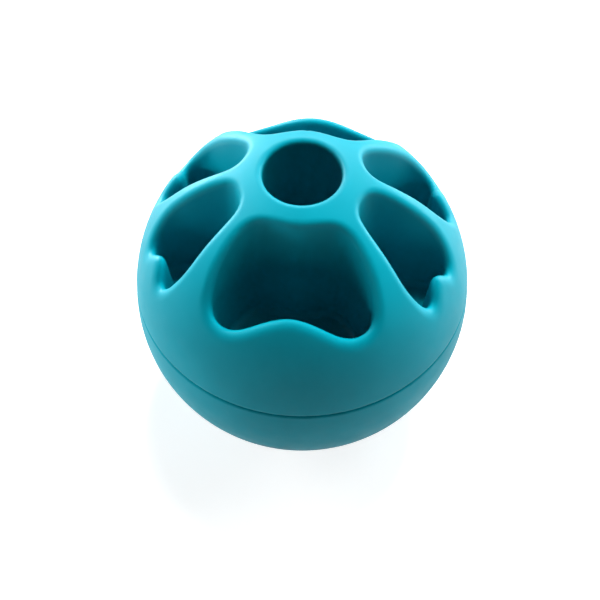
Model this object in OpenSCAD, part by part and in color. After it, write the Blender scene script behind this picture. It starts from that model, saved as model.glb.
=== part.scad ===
// Treat dispensing ball: a weighted rubber bowl, and a dome with six pockets and a well that pulls off it.
// It stands on its foot at z = 0, with its axis on Z and the middle of the front large pocket towards -Y.

/* [Ball] */
// Diameter at the widest circle
ball_d = 100; // [80:1:120]
// Diameter of the flat foot that the ball stands on
foot_d = 26; // [16:1:36]
// Height of the dome above the widest circle
dome_rise = 55; // [50:0.5:58]
// Height of the seam above the widest circle
seam_rise = 8.8; // [6:0.2:9.4]
// Bevel on the two edges that meet at the seam
seam_bevel = 0.5; // [0.3:0.1:0.8]

/* [Well] */
// Diameter of the well, through which the treats come out
well_d = 21.2; // [16:0.2:22]
// Rounding of the well's rim
well_rim_r = 1.8; // [1:0.1:2]

/* [Pockets] */
// Thickness of the floor under the pockets
floor_t = 3.6; // [3:0.2:5]
// Rounding of the pockets' rims
rim_r = 1.5; // [1:0.1:1.6]
// Rounding between a pocket's walls and its floor
floor_r = 2; // [1:0.1:2.5]
// How far a pocket's walls lean in between its rim and its floor
wall_lean = 1.8; // [0.5:0.1:2]
// Angle from the middle of a large pocket to the middle of a small one
toe_angle = 68.8; // [68.4:0.1:69.4]

/* [Joint between the halves] */
// Wall of the bowl round the socket that the dome's spigot plugs into
lip_t = 5.3; // [4.5:0.1:6]
// How much thicker than that the bowl is below its socket
socket_step = 1.2; // [1:0.1:1.6]
// Length of the spigot
spigot_l = 9; // [7:0.5:10]
// Wall of the spigot
spigot_t = 4.5; // [4:0.5:6]
// Gap round the spigot
spigot_gap = 0.05; // [0.03:0.01:0.1]
// Bevel on the spigot's leading edges
spigot_bevel = 1; // [0.5:0.1:1.5]

/* [Weight] */
// Diameter of the weight
weight_d = 40; // [34:1:48]
// Thickness of the weight
weight_t = 8; // [6:0.5:8.5]
// Bevel on the weight's edges
weight_bevel = 1; // [0.5:0.1:1.5]
// Diameter of the weight's centre hole
weight_hole_d = 8; // [6:0.5:10]
// Least rubber round the lower edge of the weight
seat_wall = 2.5; // [2:0.1:3.5]
// Gap round the weight and its cover
seat_gap = 0.1; // [0.05:0.01:0.15]

/* [Cover of the weight] */
// How far the cover reaches past the weight all round
cover_ledge = 5; // [4:0.5:6]
// Thickness of the cover
cover_t = 3; // [2.5:0.5:3.5]
// Width of the cover's raised rim
cover_rim_w = 5; // [4:0.5:8]
// Depth of the dish inside that rim
cover_dish_depth = 1; // [0.5:0.1:1.2]

/* [Hidden] */
$fn = 96;
// Half of each pocket's outline, from the middle of its inner wall to the middle of its outer wall.
// Each point is the distance across, as a share of the ball's radius, and the distance out,
// as a share of the band between the well and the skin.
front_outline_shares = [
    [0, 0.15],
    [0.22, 0.117],
    [0.356, 0.269],
    [0.428, 0.462],
    [0.396, 0.586],
    [0.264, 0.652],
    [0, 0.616]
];
back_outline_shares = [
    [0, 0.155],
    [0.22, 0.114],
    [0.372, 0.269],
    [0.484, 0.452],
    [0.496, 0.614],
    [0.276, 0.751],
    [0, 0.734]
];
toe_outline_shares = [
    [0, 0.168],
    [0.096, 0.223],
    [0.171, 0.467],
    [0.202, 0.629],
    [0.176, 0.746],
    [0.108, 0.792],
    [0, 0.741]
];
// How far each cut runs past the surface it goes through
overrun = ball_d / 100;
ball_r = ball_d / 2;
foot_r = foot_d / 2;
well_r = well_d / 2;
weight_r = weight_d / 2;
cover_r = weight_r + cover_ledge;
// Height of the widest circle above the foot
widest_z = sqrt(pow(ball_r, 2) - pow(foot_r, 2));
seam_z = widest_z + seam_rise;
pocket_floor_z = seam_z + floor_t;
// The spigot's socket and the chamber in the bowl
seam_out = sqrt(pow(ball_r, 2) - pow(seam_rise, 2));
socket_r = seam_out - lip_t;
spigot_r = socket_r - spigot_gap;
bowl_inner_r = ball_r - lip_t - socket_step;
// Heights inside the bowl
sole_z = widest_z - sqrt(pow(ball_r - seat_wall, 2) - pow(weight_r + seat_gap, 2));
cover_z = sole_z + weight_t;
chamber_floor_z = cover_z + cover_t;
// Angles that end the rows of points on a rounded rim, from its top to the pocket's wall
rim_angles = [20, 45, 68, 90];
floor_angles = [0, 45, 90];
// How far a pocket's cut reaches out and up past the rounding of its rim
rim_reach = rim_r / 3;
// Points on each stretch of a pocket's outline, and on the dome's and the well rim's curves
outline_steps = 4;
dome_steps = 24;
well_rim_steps = 6;
small_pocket_angles = [toe_angle, 180 - toe_angle, 180 + toe_angle, -toe_angle];

// Height of the dome's surface at a distance r from the axis
function dome_z(r) = widest_z + dome_rise * sqrt(1 - pow(r / ball_r, 2));
// Distance from the axis of the dome's surface at a height z
function dome_r(z) = ball_r * sqrt(1 - pow((z - widest_z) / dome_rise, 2));

// A smooth curve through four points, between the middle two
function between(a, b, c, d, t) =
    (2 * b + (c - a) * t + (2 * a - 5 * b + 4 * c - d) * t * t + (3 * b - a - 3 * c + d) * t * t * t) / 2;
// A smooth closed curve through a ring of points
function smooth_ring(p, steps) =
    let (n = len(p))
    [for (i = [0:n - 1])
        for (s = [0:steps - 1])
            between(p[(i + n - 1) % n], p[i], p[(i + 1) % n], p[(i + 2) % n], s / steps)];
// The ring of points that half an outline and its mirror image make
function mirrored(half) =
    concat(half, [for (i = [len(half) - 2:-1:1]) [-half[i][0], half[i][1]]]);
// Unit vector that points out of a closed curve at its point i
function outward(p, i) =
    let (n = len(p))
    let (along = p[(i + 1) % n] - p[(i + n - 1) % n])
    [along[1], -along[0]] / norm(along);
// The curve moved out by a distance
function grown(p, by) = [for (i = [0:len(p) - 1]) p[i] + by * outward(p, i)];

// A whole outline from half of it in shares
function outline(shares) =
    let (half = [for (s = shares) [s[0] * ball_r, well_r + s[1] * (ball_r - well_r)]])
    smooth_ring(mirrored(half), outline_steps);
front_outline = outline(front_outline_shares);
back_outline = outline(back_outline_shares);
toe_outline = outline(toe_outline_shares);

// A ring of a pocket's cut that follows the dome: the outline moved out by a distance, and lowered by a depth
function dome_ring(outline, by, depth) =
    [for (p = grown(outline, by)) [p[0], -p[1], dome_z(norm(p)) - depth]];
// A level ring of a pocket's cut
function level_ring(outline, by, z) = [for (p = grown(outline, by)) [p[0], -p[1], z]];

// The space of one pocket, from above the dome down to its floor, with its middle towards -Y
module pocket(outline) {
    rim_rings = [for (a = rim_angles) dome_ring(outline, rim_r * (1 - sin(a)), rim_r * (1 - cos(a)))];
    floor_rings = [for (a = floor_angles)
        level_ring(outline, -wall_lean - floor_r * (1 - cos(a)), pocket_floor_z + floor_r * (1 - sin(a)))];
    rings = concat(
        [level_ring(outline, rim_r + rim_reach, widest_z + dome_rise + overrun)],
        [dome_ring(outline, rim_r + rim_reach, -rim_reach)],
        rim_rings,
        floor_rings
    );
    n = len(outline);
    last = len(rings) - 1;
    polyhedron(
        points = [for (ring = rings) for (p = ring) p],
        faces = concat(
            [[for (i = [0:n - 1]) i]],
            [for (j = [0:last - 1])
                for (i = [0:n - 1])
                    [j * n + i, (j + 1) * n + i, (j + 1) * n + (i + 1) % n, j * n + (i + 1) % n]],
            [[for (i = [n - 1:-1:0]) last * n + i]]
        )
    );
}

// Half the section of the dome with its well, without the pockets
module dome_section() {
    rim_out = well_r + well_rim_r;
    rim_z = dome_z(rim_out) - well_rim_r;
    edge_out = dome_r(seam_z);
    polygon(concat(
        [[well_r, seam_z]],
        [for (s = [0:well_rim_steps])
            let (a = 180 - 90 * s / well_rim_steps)
            [rim_out + well_rim_r * cos(a), rim_z + well_rim_r * sin(a)]],
        [for (s = [1:dome_steps])
            let (r = rim_out + (dome_r(seam_z + seam_bevel) - rim_out) * sin(90 * s / dome_steps))
            [r, dome_z(r)]],
        [[edge_out - seam_bevel, seam_z]]
    ));
}

// Half the section of the spigot under the dome
module spigot_section() {
    inner_r = spigot_r - spigot_t;
    polygon([
        [inner_r, seam_z + overrun],
        [inner_r, seam_z - spigot_l + spigot_bevel],
        [inner_r + spigot_bevel, seam_z - spigot_l],
        [spigot_r - spigot_bevel, seam_z - spigot_l],
        [spigot_r, seam_z - spigot_l + spigot_bevel],
        [spigot_r, seam_z + overrun]
    ]);
}

// The rubber dome with its pockets, its well and the spigot that plugs into the bowl
module upper_body() {
    color("darkcyan")
    difference() {
        union() {
            rotate_extrude() dome_section();
            rotate_extrude() spigot_section();
        }
        pocket(front_outline);
        rotate([0, 0, 180]) pocket(back_outline);
        for (a = small_pocket_angles) rotate([0, 0, a]) pocket(toe_outline);
    }
}

// The rubber bowl, with its chamber, the socket for the spigot and the seats of the weight and its cover
module base_shell() {
    color("teal")
    difference() {
        intersection() {
            translate([0, 0, widest_z]) sphere(r = ball_r);
            cylinder(r = ball_r + overrun, h = seam_z);
        }
        // The bevel at the seam
        rotate_extrude()
        polygon([
            [seam_out - seam_bevel, seam_z],
            [seam_out + overrun, seam_z - seam_bevel - overrun],
            [seam_out + overrun, seam_z + overrun],
            [seam_out - seam_bevel, seam_z + overrun]
        ]);
        // The treat chamber
        intersection() {
            translate([0, 0, widest_z]) sphere(r = bowl_inner_r);
            translate([0, 0, chamber_floor_z]) cylinder(r = ball_r, h = seam_z);
        }
        // The socket for the spigot
        translate([0, 0, seam_z - spigot_l]) cylinder(r = socket_r, h = spigot_l + overrun);
        // The seats of the cover and the weight
        translate([0, 0, cover_z]) cylinder(r = cover_r + seat_gap, h = cover_t + overrun);
        translate([0, 0, sole_z]) cylinder(r = weight_r + seat_gap, h = weight_t + overrun);
    }
}

// The steel disc that keeps the ball upright
module ballast_weight() {
    hole_r = weight_hole_d / 2;
    color("gray")
    rotate_extrude()
    polygon([
        [hole_r, sole_z + weight_bevel],
        [hole_r + weight_bevel, sole_z],
        [weight_r - weight_bevel, sole_z],
        [weight_r, sole_z + weight_bevel],
        [weight_r, cover_z - weight_bevel],
        [weight_r - weight_bevel, cover_z],
        [hole_r + weight_bevel, cover_z],
        [hole_r, cover_z - weight_bevel]
    ]);
}

// The disc that shuts the weight in, with a shallow dish in its top
module weight_cover() {
    color("darkslategray")
    difference() {
        translate([0, 0, cover_z]) cylinder(r = cover_r, h = cover_t);
        translate([0, 0, chamber_floor_z - cover_dish_depth])
        cylinder(r = cover_r - cover_rim_w, h = cover_t);
    }
}

upper_body();
base_shell();
ballast_weight();
weight_cover();
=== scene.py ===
"""The looks of the treat dispensing ball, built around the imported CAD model.

The dome is one surface found from a field of distances. Its outer skin, its well and its six pockets
are joined by rounded edges, as in a rubber moulding. The bowl, the weight and its cover are turned profiles.
"""

import math

import bpy
import numpy as np
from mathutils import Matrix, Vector


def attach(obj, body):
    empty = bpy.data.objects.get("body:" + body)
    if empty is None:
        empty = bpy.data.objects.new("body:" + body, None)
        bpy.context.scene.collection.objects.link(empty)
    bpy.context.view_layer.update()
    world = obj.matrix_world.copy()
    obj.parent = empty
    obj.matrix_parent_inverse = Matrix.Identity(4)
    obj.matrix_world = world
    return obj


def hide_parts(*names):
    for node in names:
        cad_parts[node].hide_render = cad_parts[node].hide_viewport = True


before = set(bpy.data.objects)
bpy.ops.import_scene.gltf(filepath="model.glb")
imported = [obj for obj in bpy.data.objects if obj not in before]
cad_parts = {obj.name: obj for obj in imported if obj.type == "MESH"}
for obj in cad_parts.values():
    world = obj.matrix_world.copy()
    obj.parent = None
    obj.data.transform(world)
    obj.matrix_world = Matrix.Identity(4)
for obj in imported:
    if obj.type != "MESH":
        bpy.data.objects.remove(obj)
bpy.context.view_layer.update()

MM = 0.001

# Sizes of the two rubber mouldings
BALL_R = 50 * MM
FOOT_R = 13 * MM
DOME_RISE = 55 * MM
SEAM_RISE = 8.8 * MM
WIDEST_Z = math.sqrt(BALL_R**2 - FOOT_R**2)
SEAM_Z = WIDEST_Z + SEAM_RISE
SEAM_ROUND = 1.1 * MM
EDGE_ROUND = 0.5 * MM
WELL_R = 10.6 * MM
WELL_RIM_R = 1.8 * MM

# Sizes of the pockets
FLOOR_Z = SEAM_Z + 3.6 * MM
RIM_R = 2.0 * MM
FLOOR_R = 2.0 * MM
WALL_LEAN = 1.8 * MM
# Half outlines of the pockets from the inner wall to the outer, as millimetres across and out from the axis
FRONT_HALF = [(0, 16.5), (11, 15.2), (17.8, 21.2), (21.4, 28.8), (19.8, 33.7), (13.2, 36.3), (0, 34.9)]
BACK_HALF = [(0, 16.7), (11, 15.1), (18.6, 21.2), (24.2, 28.4), (24.8, 34.8), (13.8, 40.2), (0, 39.5)]
TOE_HALF = [(0, 17.2), (4.8, 19.4), (8.55, 29), (10.1, 35.4), (8.8, 40), (5.4, 41.8), (0, 39.8)]
TOE_ANGLE = math.radians(68.8)

# Sizes of the spigot and its socket
LIP_T = 5.3 * MM
SPIGOT_L = 9 * MM
SPIGOT_T = 4.5 * MM
SPIGOT_GAP = 0.05 * MM
SPIGOT_ROOT = 1 * MM
SOCKET_R = math.sqrt(BALL_R**2 - SEAM_RISE**2) - LIP_T
SPIGOT_R = SOCKET_R - SPIGOT_GAP

# Sizes of the bowl, the weight and its cover
CHAMBER_EXTRA_WALL = 1.2 * MM
BOWL_INNER_R = BALL_R - LIP_T - CHAMBER_EXTRA_WALL
SEAT_WALL = 2.5 * MM
WEIGHT_R = 20 * MM
WEIGHT_T = 8 * MM
WEIGHT_HOLE_R = 4 * MM
COVER_R = 25 * MM
COVER_T = 3 * MM
COVER_DISH_R = 20 * MM
COVER_DISH_DEPTH = 1 * MM
SEAT_GAP = 0.1 * MM
SOLE_Z = WIDEST_Z - math.sqrt((BALL_R - SEAT_WALL) ** 2 - (WEIGHT_R + SEAT_GAP) ** 2)
COVER_Z = SOLE_Z + WEIGHT_T
CHAMBER_FLOOR_Z = COVER_Z + COVER_T

# The camera, which looks at the middle of the widest circle from the photograph's angle
CAMERA_AZIMUTH = math.radians(5)
CAMERA_ELEVATION = math.radians(56)
CAMERA_DISTANCE = 306.7 * MM
FOCAL_PIXELS = 1000
IMAGE_PIXELS = 600
CENTRE_PIXEL = (302.1, 285.5)
SENSOR = 36

# The floor: how it glows to the camera, near and far, and in the gloss in front of the ball and behind
FLOOR_HALF = 3.0
FLOOR_COLOUR = 0.6
FLOOR_COLOUR_IN_GLOSS = 0.1
FLOOR_GLOW_NEAR, FLOOR_NEAR = 0.7, 0.3
FLOOR_GLOW_FAR, FLOOR_FAR = 1.0, 1.2
GLOSS_GLOW_FRONT, GLOSS_FRONT = 0.0, -0.15
GLOSS_GLOW_BACK, GLOSS_BACK = 1.2, 0.05

# How strongly the white room lights the ball
ROOM_LEVEL = 0.06

# The lamps: name, place, width, height, power and whether only the gloss sees them
LAMPS = [
    ("overhead", (0.14, 0.54, 1.09), 0.4, 0.6, 37, False),
    ("overhead_right", (0.6, 0.2, 1.05), 0.4, 0.4, 2.5, False),
    ("left_low", (-0.9, -0.05, 0.06), 0.5, 0.1, 9.5, False),
    ("right_low", (0.9, -0.05, 0.06), 0.5, 0.1, 3, False),
    ("left_behind", (-0.8, 0.5, 0.2), 0.4, 0.2, 8, False),
    ("right_behind", (0.8, 0.5, 0.2), 0.4, 0.2, 6.5, False),
    ("front_low", (0, -1.0, 0.1), 0.5, 0.2, 0.6, False),
    ("backdrop_left", (-0.7, 0.7, 0.2), 0.7, 0.4, 21, True),
    ("backdrop_right", (0.7, 0.7, 0.2), 0.7, 0.4, 12, True),
    ("backdrop_high", (0, 0.85, 0.6), 0.6, 0.4, 10, True),
    ("left_panel", (-0.75, 0.3, 0.85), 0.6, 0.6, 8, True),
]

# How the dome is meshed: the grid's step, and how often and how far its vertices are evened out
DOME_STEP = 0.6 * MM
SETTLING_ROUNDS = 2
EVENING_ROUNDS = 3
EVENING_SHARE = 0.5

# How the outlines and the turned pieces are divided
OUTLINE_STEPS = 16
TURNED_SEGMENTS = 192
SHARP_DEGREES = 32


# Curves


def between(a, b, c, d, t):
    """A smooth curve through four points, between the middle two."""
    return (2 * b + (c - a) * t + (2 * a - 5 * b + 4 * c - d) * t**2 + (3 * b - a - 3 * c + d) * t**3) / 2


def smooth_ring(points, steps):
    """A smooth closed curve through a ring of points."""
    n = len(points)
    return np.array(
        [
            between(points[i - 1], points[i], points[(i + 1) % n], points[(i + 2) % n], s / steps)
            for i in range(n)
            for s in range(steps)
        ]
    )


def pocket_outline(half, angle):
    """The plan outline of a pocket whose middle is turned by an angle from -Y towards +X."""
    ring = half + [(-across, out) for across, out in half[-2:0:-1]]
    curve = smooth_ring(np.array(ring) * MM, OUTLINE_STEPS)
    across, out = curve[:, 0], curve[:, 1]
    x = across * math.cos(angle) + out * math.sin(angle)
    y = across * math.sin(angle) - out * math.cos(angle)
    return np.stack([x, y], 1)


def arc(centre, radius, start, end, steps):
    """Points on an arc in the plane of a turned profile, angles in degrees from the outward direction."""
    angles = np.radians(np.linspace(start, end, steps + 1))
    return [(centre[0] + radius * math.cos(a), centre[1] + radius * math.sin(a)) for a in angles]


# The dome's field: distances in metres, below zero inside the rubber


def signed_distance(outline, points):
    """Distance from points in the plan to a closed outline, below zero inside it."""
    start = outline
    step = np.roll(outline, -1, 0) - start
    nearest = np.full(len(points), np.inf)
    inside = np.zeros(len(points), bool)
    for (x0, y0), (dx, dy) in zip(start, step):
        px, py = points[:, 0] - x0, points[:, 1] - y0
        t = np.clip((px * dx + py * dy) / (dx * dx + dy * dy), 0, 1)
        nearest = np.minimum(nearest, (px - t * dx) ** 2 + (py - t * dy) ** 2)
        crosses = (py < 0) != (py < dy)
        if dy:
            inside ^= crosses & (px < dx * py / dy)
    return np.where(inside, -1, 1) * np.sqrt(nearest)


def rounded_max(a, b, r):
    """The overlap of two solids, with their edge rounded."""
    corner = np.hypot(np.maximum(a + r, 0), np.maximum(b + r, 0))
    return np.minimum(np.maximum(a, b), -r) + corner


class PlanMap:
    """The distance to the nearest pocket's outline, and how fast it grows away from the axis.

    Both are tabled over the half of the plan where x is above zero.
    """

    STEP = 0.25 * MM
    SMOOTHING_ROUNDS = 12

    def __init__(self):
        self.half = int(BALL_R / self.STEP) + 2
        across = np.arange(-1, self.half + 1) * self.STEP
        along = np.arange(-self.half, self.half + 1) * self.STEP
        x, y = np.meshgrid(across, along, indexing="ij")
        points = np.stack([x.ravel(), y.ravel()], 1)
        outlines = [
            pocket_outline(FRONT_HALF, 0),
            pocket_outline(BACK_HALF, math.pi),
            pocket_outline(TOE_HALF, TOE_ANGLE),
            pocket_outline(TOE_HALF, math.pi - TOE_ANGLE),
        ]
        distance = np.min([signed_distance(outline, points) for outline in outlines], 0).reshape(x.shape)
        slope_x, slope_y = np.gradient(distance, self.STEP)
        growth = (x * slope_x + y * slope_y) / np.maximum(np.hypot(x, y), self.STEP)
        for _ in range(self.SMOOTHING_ROUNDS):
            for axis in (0, 1):
                growth = (np.roll(growth, 1, axis) + 2 * growth + np.roll(growth, -1, axis)) / 4
        self.table = np.stack([distance, growth], -1)

    def __call__(self, x, y):
        u = np.clip(np.abs(x) / self.STEP + 1, 0, self.half + 0.999)
        v = np.clip(y / self.STEP + self.half, 0, 2 * self.half - 0.001)
        i, j = u.astype(int), v.astype(int)
        s, t = (u - i)[..., None], (v - j)[..., None]
        table = self.table
        low = table[i, j] * (1 - t) + table[i, j + 1] * t
        high = table[i + 1, j] * (1 - t) + table[i + 1, j + 1] * t
        value = low * (1 - s) + high * s
        return value[..., 0], value[..., 1]


plan_map = PlanMap()


def skin_distance(x, y, z):
    """Distance to the dome's outer skin, an ellipsoid."""
    rise = z - WIDEST_Z
    r2 = x * x + y * y
    near = np.sqrt(r2 / BALL_R**2 + rise**2 / DOME_RISE**2)
    slope = np.sqrt(r2 / BALL_R**4 + rise**2 / DOME_RISE**4)
    return near * (near - 1) / np.maximum(slope, 1e-9)


def dome_field(x, y, z):
    """The upper moulding: dome, well, pockets and spigot."""
    r = np.hypot(x, y)
    skin = skin_distance(x, y, z)
    top_z = WIDEST_Z + DOME_RISE * np.sqrt(np.maximum(1 - (r / BALL_R) ** 2, 0))
    depth_share = np.clip((top_z - z) / np.maximum(top_z - FLOOR_Z, MM), 0, 1)
    plan_distance, growth = plan_map(x, y)
    pocket = rounded_max(plan_distance + WALL_LEAN * depth_share, FLOOR_Z - z, FLOOR_R)
    body = rounded_max(skin, SEAM_Z - z, SEAM_ROUND)
    # A ball rolled along a rim rounds a sharp edge widely and a blunt one little
    fall = r / BALL_R**2
    tilt = fall / np.hypot(fall, np.maximum(z - WIDEST_Z, MM) / DOME_RISE**2)
    body = rounded_max(body, -pocket, RIM_R * (1 + tilt * growth))
    spigot = rounded_max(r - SPIGOT_R, SPIGOT_R - SPIGOT_T - r, EDGE_ROUND)
    spigot = rounded_max(spigot, SEAM_Z - SPIGOT_L - z, EDGE_ROUND)
    spigot = np.maximum(spigot, z - SEAM_Z - SPIGOT_ROOT)
    body = np.minimum(body, spigot)
    return rounded_max(body, WELL_R - r, WELL_RIM_R)


# Meshes


def surface_of(field, low, high, step):
    """Vertices and quads of a field's zero surface, one vertex in each grid cell that it crosses."""
    counts = [int(round((b - a) / step)) + 1 for a, b in zip(low, high)]
    axes = [a + step * np.arange(n) for a, n in zip(low, counts)]
    values = field(axes[0][:, None, None], axes[1][None, :, None], axes[2][None, None, :])
    inside = values < 0
    cells = tuple(n - 1 for n in counts)
    total = np.zeros(cells + (3,))
    hits = np.zeros(cells)
    grid = np.stack(np.meshgrid(*axes, indexing="ij"), -1)
    for axis in range(3):
        others = [k for k in range(3) if k != axis]
        for da in (0, 1):
            for db in (0, 1):
                near = [slice(0, n) for n in cells]
                near[others[0]] = slice(da, cells[others[0]] + da)
                near[others[1]] = slice(db, cells[others[1]] + db)
                far = list(near)
                far[axis] = slice(1, cells[axis] + 1)
                near, far = tuple(near), tuple(far)
                a, b = values[near], values[far]
                crosses = (a < 0) != (b < 0)
                t = np.where(crosses, a / np.where(crosses, a - b, 1), 0)
                point = grid[near].copy()
                point[..., axis] += t * step
                total += point * crosses[..., None]
                hits += crosses
    crossed = hits > 0
    number = np.full(cells, -1)
    number[crossed] = np.arange(crossed.sum())
    vertices = total[crossed] / hits[crossed][:, None]

    quads = []
    for axis in range(3):
        u, v = (axis + 1) % 3, (axis + 2) % 3
        near = [slice(1, n - 1) for n in counts]
        far = list(near)
        near[axis] = slice(0, cells[axis])
        far[axis] = slice(1, counts[axis])
        a, b = inside[tuple(near)], inside[tuple(far)]
        where = np.argwhere(a != b)
        leaves = a[tuple(where.T)]
        where[:, u] += 1
        where[:, v] += 1
        corners = []
        for du, dv in ((1, 1), (0, 1), (0, 0), (1, 0)):
            cell = where.copy()
            cell[:, u] -= du
            cell[:, v] -= dv
            corners.append(number[tuple(cell.T)])
        quad = np.stack(corners, 1)
        quad[~leaves] = quad[~leaves][:, ::-1]
        quads.append(quad)
    return vertices, np.concatenate(quads)


def onto_surface(field, vertices, rounds):
    """Moves vertices onto the field's zero surface, along its slope."""
    small = 0.02 * MM
    least_slope = 0.5
    for _ in range(rounds):
        x, y, z = vertices.T
        value = field(x, y, z)
        slope = np.stack(
            [
                field(x + small, y, z) - field(x - small, y, z),
                field(x, y + small, z) - field(x, y - small, z),
                field(x, y, z + small) - field(x, y, z - small),
            ],
            1,
        ) / (2 * small)
        size = np.maximum((slope**2).sum(1), least_slope**2)
        vertices = vertices - np.clip(value / size, -MM, MM)[:, None] * slope
    return vertices


def evened(vertices, quads, share):
    """Moves each vertex part of the way to the middle of its neighbours."""
    total = np.zeros_like(vertices)
    count = np.zeros(len(vertices))
    for k in range(4):
        a, b = quads[:, k], quads[:, (k + 1) % 4]
        np.add.at(total, a, vertices[b])
        np.add.at(total, b, vertices[a])
        np.add.at(count, a, 1)
        np.add.at(count, b, 1)
    return vertices + share * (total / count[:, None] - vertices)


def mesh_object(name, vertices, faces, sharp_angle=None):
    """A new smooth object, with edges sharper than an angle in degrees left sharp."""
    mesh = bpy.data.meshes.new(name)
    mesh.from_pydata([tuple(v) for v in vertices], [], [tuple(int(i) for i in f) for f in faces])
    mesh.validate()
    mesh.shade_smooth()
    if sharp_angle:
        mesh.set_sharp_from_angle(angle=math.radians(sharp_angle))
    piece = bpy.data.objects.new(name, mesh)
    bpy.context.scene.collection.objects.link(piece)
    return piece


def turned(name, profile, segments=TURNED_SEGMENTS):
    """A profile turned round the Z axis. It closes on itself, or starts and ends on the axis."""
    profile = [(float(r), float(z)) for r, z in profile]
    on_axis = profile[0][0] == 0
    vertices, rows = [], []
    for r, z in profile:
        if r == 0:
            rows.append([len(vertices)] * segments)
            vertices.append((0, 0, z))
        else:
            rows.append(list(range(len(vertices), len(vertices) + segments)))
            angles = [2 * math.pi * k / segments for k in range(segments)]
            vertices += [(r * math.cos(a), r * math.sin(a), z) for a in angles]
    if not on_axis:
        rows.append(rows[0])
    faces = []
    for lower, upper in zip(rows, rows[1:]):
        for k in range(segments):
            face = [lower[k], lower[(k + 1) % segments], upper[(k + 1) % segments], upper[k]]
            faces.append(list(dict.fromkeys(face)))
    return mesh_object(name, vertices, faces, sharp_angle=SHARP_DEGREES)


# Materials


def node(material, kind, **inputs):
    """A new shader node with some of its inputs set or linked."""
    made = material.node_tree.nodes.new(kind)
    for name, value in inputs.items():
        socket = made.inputs[name.replace("_", " ")]
        if isinstance(value, bpy.types.NodeSocket):
            material.node_tree.links.new(value, socket)
        else:
            socket.default_value = value
    return made


def new_material(name):
    """A material with an empty node tree, and its shader and output."""
    material = bpy.data.materials.new(name)
    material.use_nodes = True
    material.node_tree.nodes.clear()
    shader = node(material, "ShaderNodeBsdfPrincipled")
    output = node(material, "ShaderNodeOutputMaterial")
    material.node_tree.links.new(shader.outputs["BSDF"], output.inputs["Surface"])
    return material, shader


def noise(material, scale, detail=2.0, roughness=0.5):
    """A noise value that is fixed to the object."""
    where = node(material, "ShaderNodeTexCoord").outputs["Object"]
    return node(
        material, "ShaderNodeTexNoise", Vector=where, Scale=scale, Detail=detail, Roughness=roughness
    ).outputs["Fac"]


def ranged(material, value, source, target):
    """A value mapped from one pair of limits to another, and held within them."""
    made = node(
        material,
        "ShaderNodeMapRange",
        Value=value,
        From_Min=source[0],
        From_Max=source[1],
        To_Min=target[0],
        To_Max=target[1],
    )
    return made.outputs["Result"]


def spread(material, value, low, high):
    """A noise value spread between two numbers."""
    return ranged(material, value, (0.3, 0.7), (low, high))


def colour_between(material, value, low, high):
    """A colour between two others, chosen by a noise value."""
    ramp = node(material, "ShaderNodeValToRGB", Fac=value)
    ramp.color_ramp.elements[0].position = 0.3
    ramp.color_ramp.elements[0].color = (*low, 1)
    ramp.color_ramp.elements[1].position = 0.7
    ramp.color_ramp.elements[1].color = (*high, 1)
    return ramp.outputs["Color"]


def link(material, source, target):
    """Joins two sockets of a material."""
    material.node_tree.links.new(source, target)


def rubber(name):
    """Matte teal rubber: faint clouds in the colour and a fine moulded grain."""
    material, shader = new_material(name)
    link(
        material,
        colour_between(material, noise(material, 45, 3), (0.0, 0.194, 0.252), (0.0, 0.216, 0.28)),
        shader.inputs["Base Color"],
    )
    link(material, spread(material, noise(material, 160, 3), 0.44, 0.52), shader.inputs["Roughness"])
    grain = node(
        material, "ShaderNodeBump", Strength=0.12, Distance=0.05 * MM, Height=noise(material, 2600, 2)
    )
    wave = node(
        material,
        "ShaderNodeBump",
        Strength=0.15,
        Distance=0.25 * MM,
        Height=noise(material, 110, 2),
        Normal=grain.outputs["Normal"],
    )
    link(material, wave.outputs["Normal"], shader.inputs["Normal"])
    shader.inputs["Specular IOR Level"].default_value = 0.12
    return material


def cast_metal(name):
    """Dull grey cast metal with a coarse skin."""
    material, shader = new_material(name)
    link(
        material,
        colour_between(material, noise(material, 220, 4), (0.16, 0.165, 0.17), (0.27, 0.275, 0.28)),
        shader.inputs["Base Color"],
    )
    link(material, spread(material, noise(material, 300, 3), 0.45, 0.65), shader.inputs["Roughness"])
    skin = node(material, "ShaderNodeBump", Strength=0.4, Distance=0.1 * MM, Height=noise(material, 900, 4))
    link(material, skin.outputs["Normal"], shader.inputs["Normal"])
    shader.inputs["Metallic"].default_value = 1.0
    return material


def moulded_plastic(name):
    """Dark teal moulded plastic with a satin face."""
    material, shader = new_material(name)
    link(
        material,
        colour_between(material, noise(material, 60, 2), (0.005, 0.06, 0.075), (0.008, 0.075, 0.09)),
        shader.inputs["Base Color"],
    )
    link(material, spread(material, noise(material, 200, 3), 0.34, 0.42), shader.inputs["Roughness"])
    grain = node(
        material, "ShaderNodeBump", Strength=0.1, Distance=0.05 * MM, Height=noise(material, 1800, 2)
    )
    link(material, grain.outputs["Normal"], shader.inputs["Normal"])
    return material


def dress(piece, material, body, replaced):
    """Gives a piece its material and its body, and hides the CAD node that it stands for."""
    piece.data.materials.append(material)
    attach(piece, body)
    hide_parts(replaced)


# Pieces


def make_dome():
    """The upper moulding, meshed from its field."""
    margin = 2 * DOME_STEP
    low = (-BALL_R - margin, -BALL_R - margin, SEAM_Z - SPIGOT_L - margin)
    high = (BALL_R + margin, BALL_R + margin, WIDEST_Z + DOME_RISE + margin)
    vertices, quads = surface_of(dome_field, low, high, DOME_STEP)
    vertices = onto_surface(dome_field, vertices, SETTLING_ROUNDS)
    for _ in range(EVENING_ROUNDS):
        vertices = onto_surface(dome_field, evened(vertices, quads, EVENING_SHARE), SETTLING_ROUNDS)
    piece = mesh_object("dome_moulding", vertices, quads)
    dress(piece, rubber("dome_rubber_look"), "dome", "upper_body")


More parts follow.
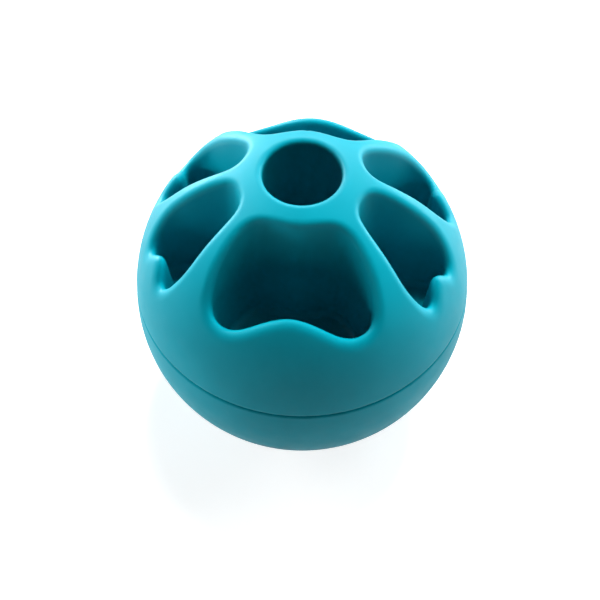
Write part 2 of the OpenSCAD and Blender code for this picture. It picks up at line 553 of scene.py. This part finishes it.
def make_bowl():
    """The lower moulding with its foot, socket, chamber and seats."""
    foot_angle = math.degrees(math.asin(FOOT_R / BALL_R)) - 90
    seam_angle = math.degrees(math.asin((SEAM_RISE - SEAM_ROUND) / BALL_R))
    seam_out = math.sqrt(BALL_R**2 - (SEAM_RISE - SEAM_ROUND) ** 2)
    seam_round_start = 15
    ledge_z = SEAM_Z - SPIGOT_L
    middle = (0, WIDEST_Z)
    chamber_floor = math.degrees(math.asin((CHAMBER_FLOOR_Z - WIDEST_Z) / BOWL_INNER_R))
    ledge_angle = math.degrees(math.asin((ledge_z - WIDEST_Z) / BOWL_INNER_R))
    seat_r = WEIGHT_R + SEAT_GAP
    cover_seat_r = COVER_R + SEAT_GAP
    profile = [(0, 0), (FOOT_R - EDGE_ROUND, 0)]
    profile += arc(middle, BALL_R, foot_angle, seam_angle, 72)
    profile += arc((seam_out - SEAM_ROUND, SEAM_Z - SEAM_ROUND), SEAM_ROUND, seam_round_start, 90, 5)
    profile += arc((SOCKET_R + EDGE_ROUND, SEAM_Z - EDGE_ROUND), EDGE_ROUND, 90, 180, 5)
    profile += [(SOCKET_R, ledge_z)]
    profile += arc(middle, BOWL_INNER_R, ledge_angle, chamber_floor, 48)
    profile += [
        (cover_seat_r, CHAMBER_FLOOR_Z),
        (cover_seat_r, COVER_Z),
        (seat_r, COVER_Z),
        (seat_r, SOLE_Z),
        (0, SOLE_Z),
    ]
    piece = turned("bowl_moulding", profile)
    dress(piece, rubber("bowl_rubber_look"), "bowl", "base_shell")


def make_weight():
    """The weight, a ring with bevelled edges."""
    bevel = 1 * MM
    profile = []
    for centre_r, centre_z, start in (
        (WEIGHT_HOLE_R + bevel, SOLE_Z + bevel, 180),
        (WEIGHT_R - bevel, SOLE_Z + bevel, 270),
        (WEIGHT_R - bevel, COVER_Z - bevel, 0),
        (WEIGHT_HOLE_R + bevel, COVER_Z - bevel, 90),
    ):
        profile += arc((centre_r, centre_z), bevel, start, start + 90, 4)
    piece = turned("weight_disc", profile)
    dress(piece, cast_metal("weight_look"), "bowl", "ballast_weight")


def make_cover():
    """The cover of the weight, with a shallow dish."""
    edge = 0.4 * MM
    dish_z = CHAMBER_FLOOR_Z - COVER_DISH_DEPTH
    profile = [(0, COVER_Z)]
    profile += arc((COVER_R - edge, COVER_Z + edge), edge, 270, 360, 3)
    profile += arc((COVER_R - edge, CHAMBER_FLOOR_Z - edge), edge, 0, 90, 3)
    profile += arc((COVER_DISH_R + edge, CHAMBER_FLOOR_Z - edge), edge, 90, 180, 3)
    profile += [(COVER_DISH_R, dish_z), (0, dish_z)]
    piece = turned("cover_disc", profile)
    dress(piece, moulded_plastic("cover_look"), "bowl", "weight_cover")


# Stage


def make_floor():
    """A white floor with a faint shadow. It glows to the camera, and in the ball's gloss."""
    half = FLOOR_HALF
    corners = [(-half, -half, 0), (half, -half, 0), (half, half, 0), (-half, half, 0)]
    floor = mesh_object("floor", corners, [(0, 1, 2, 3)])
    material, shader = new_material("floor_look")
    shader.inputs["Roughness"].default_value = 0.9
    shader.inputs["Specular IOR Level"].default_value = 0.1
    shader.inputs["Emission Color"].default_value = (1, 1, 1, 1)
    path = node(material, "ShaderNodeLightPath")
    where = node(material, "ShaderNodeTexCoord").outputs["Object"]
    distance = node(material, "ShaderNodeVectorMath")
    distance.operation = "LENGTH"
    link(material, where, distance.inputs[0])
    outward = distance.outputs["Value"]
    along = node(material, "ShaderNodeSeparateXYZ", Vector=where).outputs["Y"]
    near_to_far = ranged(material, outward, (FLOOR_NEAR, FLOOR_FAR), (FLOOR_GLOW_NEAR, FLOOR_GLOW_FAR))
    front_to_back = ranged(material, along, (GLOSS_FRONT, GLOSS_BACK), (GLOSS_GLOW_FRONT, GLOSS_GLOW_BACK))
    in_gloss = path.outputs["Is Glossy Ray"]
    base = ranged(material, in_gloss, (0, 1), (FLOOR_COLOUR, FLOOR_COLOUR_IN_GLOSS))
    link(material, base, shader.inputs["Base Color"])
    to_camera = node(material, "ShaderNodeMath")
    to_camera.operation = "MULTIPLY"
    link(material, path.outputs["Is Camera Ray"], to_camera.inputs[0])
    link(material, near_to_far, to_camera.inputs[1])
    glow = node(material, "ShaderNodeMath")
    glow.operation = "MULTIPLY_ADD"
    link(material, in_gloss, glow.inputs[0])
    link(material, front_to_back, glow.inputs[1])
    link(material, to_camera.outputs["Value"], glow.inputs[2])
    link(material, glow.outputs["Value"], shader.inputs["Emission Strength"])
    floor.data.materials.append(material)


def make_world(level):
    """A white room that lights the ball a little, and is white to the camera."""
    world = bpy.data.worlds.new("white_room")
    bpy.context.scene.world = world
    world.use_nodes = True
    nodes, links = world.node_tree.nodes, world.node_tree.links
    nodes.clear()
    output = nodes.new("ShaderNodeOutputWorld")
    background = nodes.new("ShaderNodeBackground")
    background.inputs["Color"].default_value = (1, 1, 1, 1)
    path = nodes.new("ShaderNodeLightPath")
    seen = nodes.new("ShaderNodeMath")
    seen.operation = "MAXIMUM"
    links.new(path.outputs["Is Camera Ray"], seen.inputs[0])
    seen.inputs[1].default_value = level
    links.new(seen.outputs["Value"], background.inputs["Strength"])
    links.new(background.outputs["Background"], output.inputs["Surface"])


def make_lamp(name, place, width, height, power, in_gloss):
    """A soft lamp that faces the ball, and lights either its matte colour or its gloss."""
    light = bpy.data.lights.new(name, "AREA")
    light.shape = "RECTANGLE"
    light.size = width
    light.size_y = height
    light.energy = power
    lamp = bpy.data.objects.new(name, light)
    bpy.context.scene.collection.objects.link(lamp)
    lamp.location = place
    towards = np.array([0, 0, WIDEST_Z]) - np.array(place)
    lamp.rotation_euler = look_rotation(towards)
    lamp.visible_diffuse = not in_gloss
    lamp.visible_glossy = in_gloss


def look_rotation(towards):
    """The rotation that points an object's -Z along a direction, with its Y up."""
    return Vector(towards).to_track_quat("-Z", "Y").to_euler()


def make_camera():
    """The camera, at the photograph's angle, distance and centre."""
    camera_data = bpy.data.cameras.new("camera")
    camera_data.sensor_width = SENSOR
    camera_data.lens = SENSOR * FOCAL_PIXELS / IMAGE_PIXELS
    middle_pixel = IMAGE_PIXELS / 2
    camera_data.shift_x = (middle_pixel - CENTRE_PIXEL[0]) / IMAGE_PIXELS
    camera_data.shift_y = (CENTRE_PIXEL[1] - middle_pixel) / IMAGE_PIXELS
    camera = bpy.data.objects.new("camera", camera_data)
    bpy.context.scene.collection.objects.link(camera)
    level = CAMERA_DISTANCE * math.cos(CAMERA_ELEVATION)
    offset = np.array(
        [
            math.sin(CAMERA_AZIMUTH) * level,
            -math.cos(CAMERA_AZIMUTH) * level,
            CAMERA_DISTANCE * math.sin(CAMERA_ELEVATION),
        ]
    )
    camera.location = offset + np.array([0, 0, WIDEST_Z])
    camera.rotation_euler = look_rotation(-offset)
    bpy.context.scene.camera = camera


make_camera()
make_floor()
make_world(ROOM_LEVEL)
for lamp_settings in LAMPS:
    make_lamp(*lamp_settings)
make_dome()
make_bowl()
make_weight()
make_cover()
bpy.context.scene.view_settings.view_transform = "Standard"
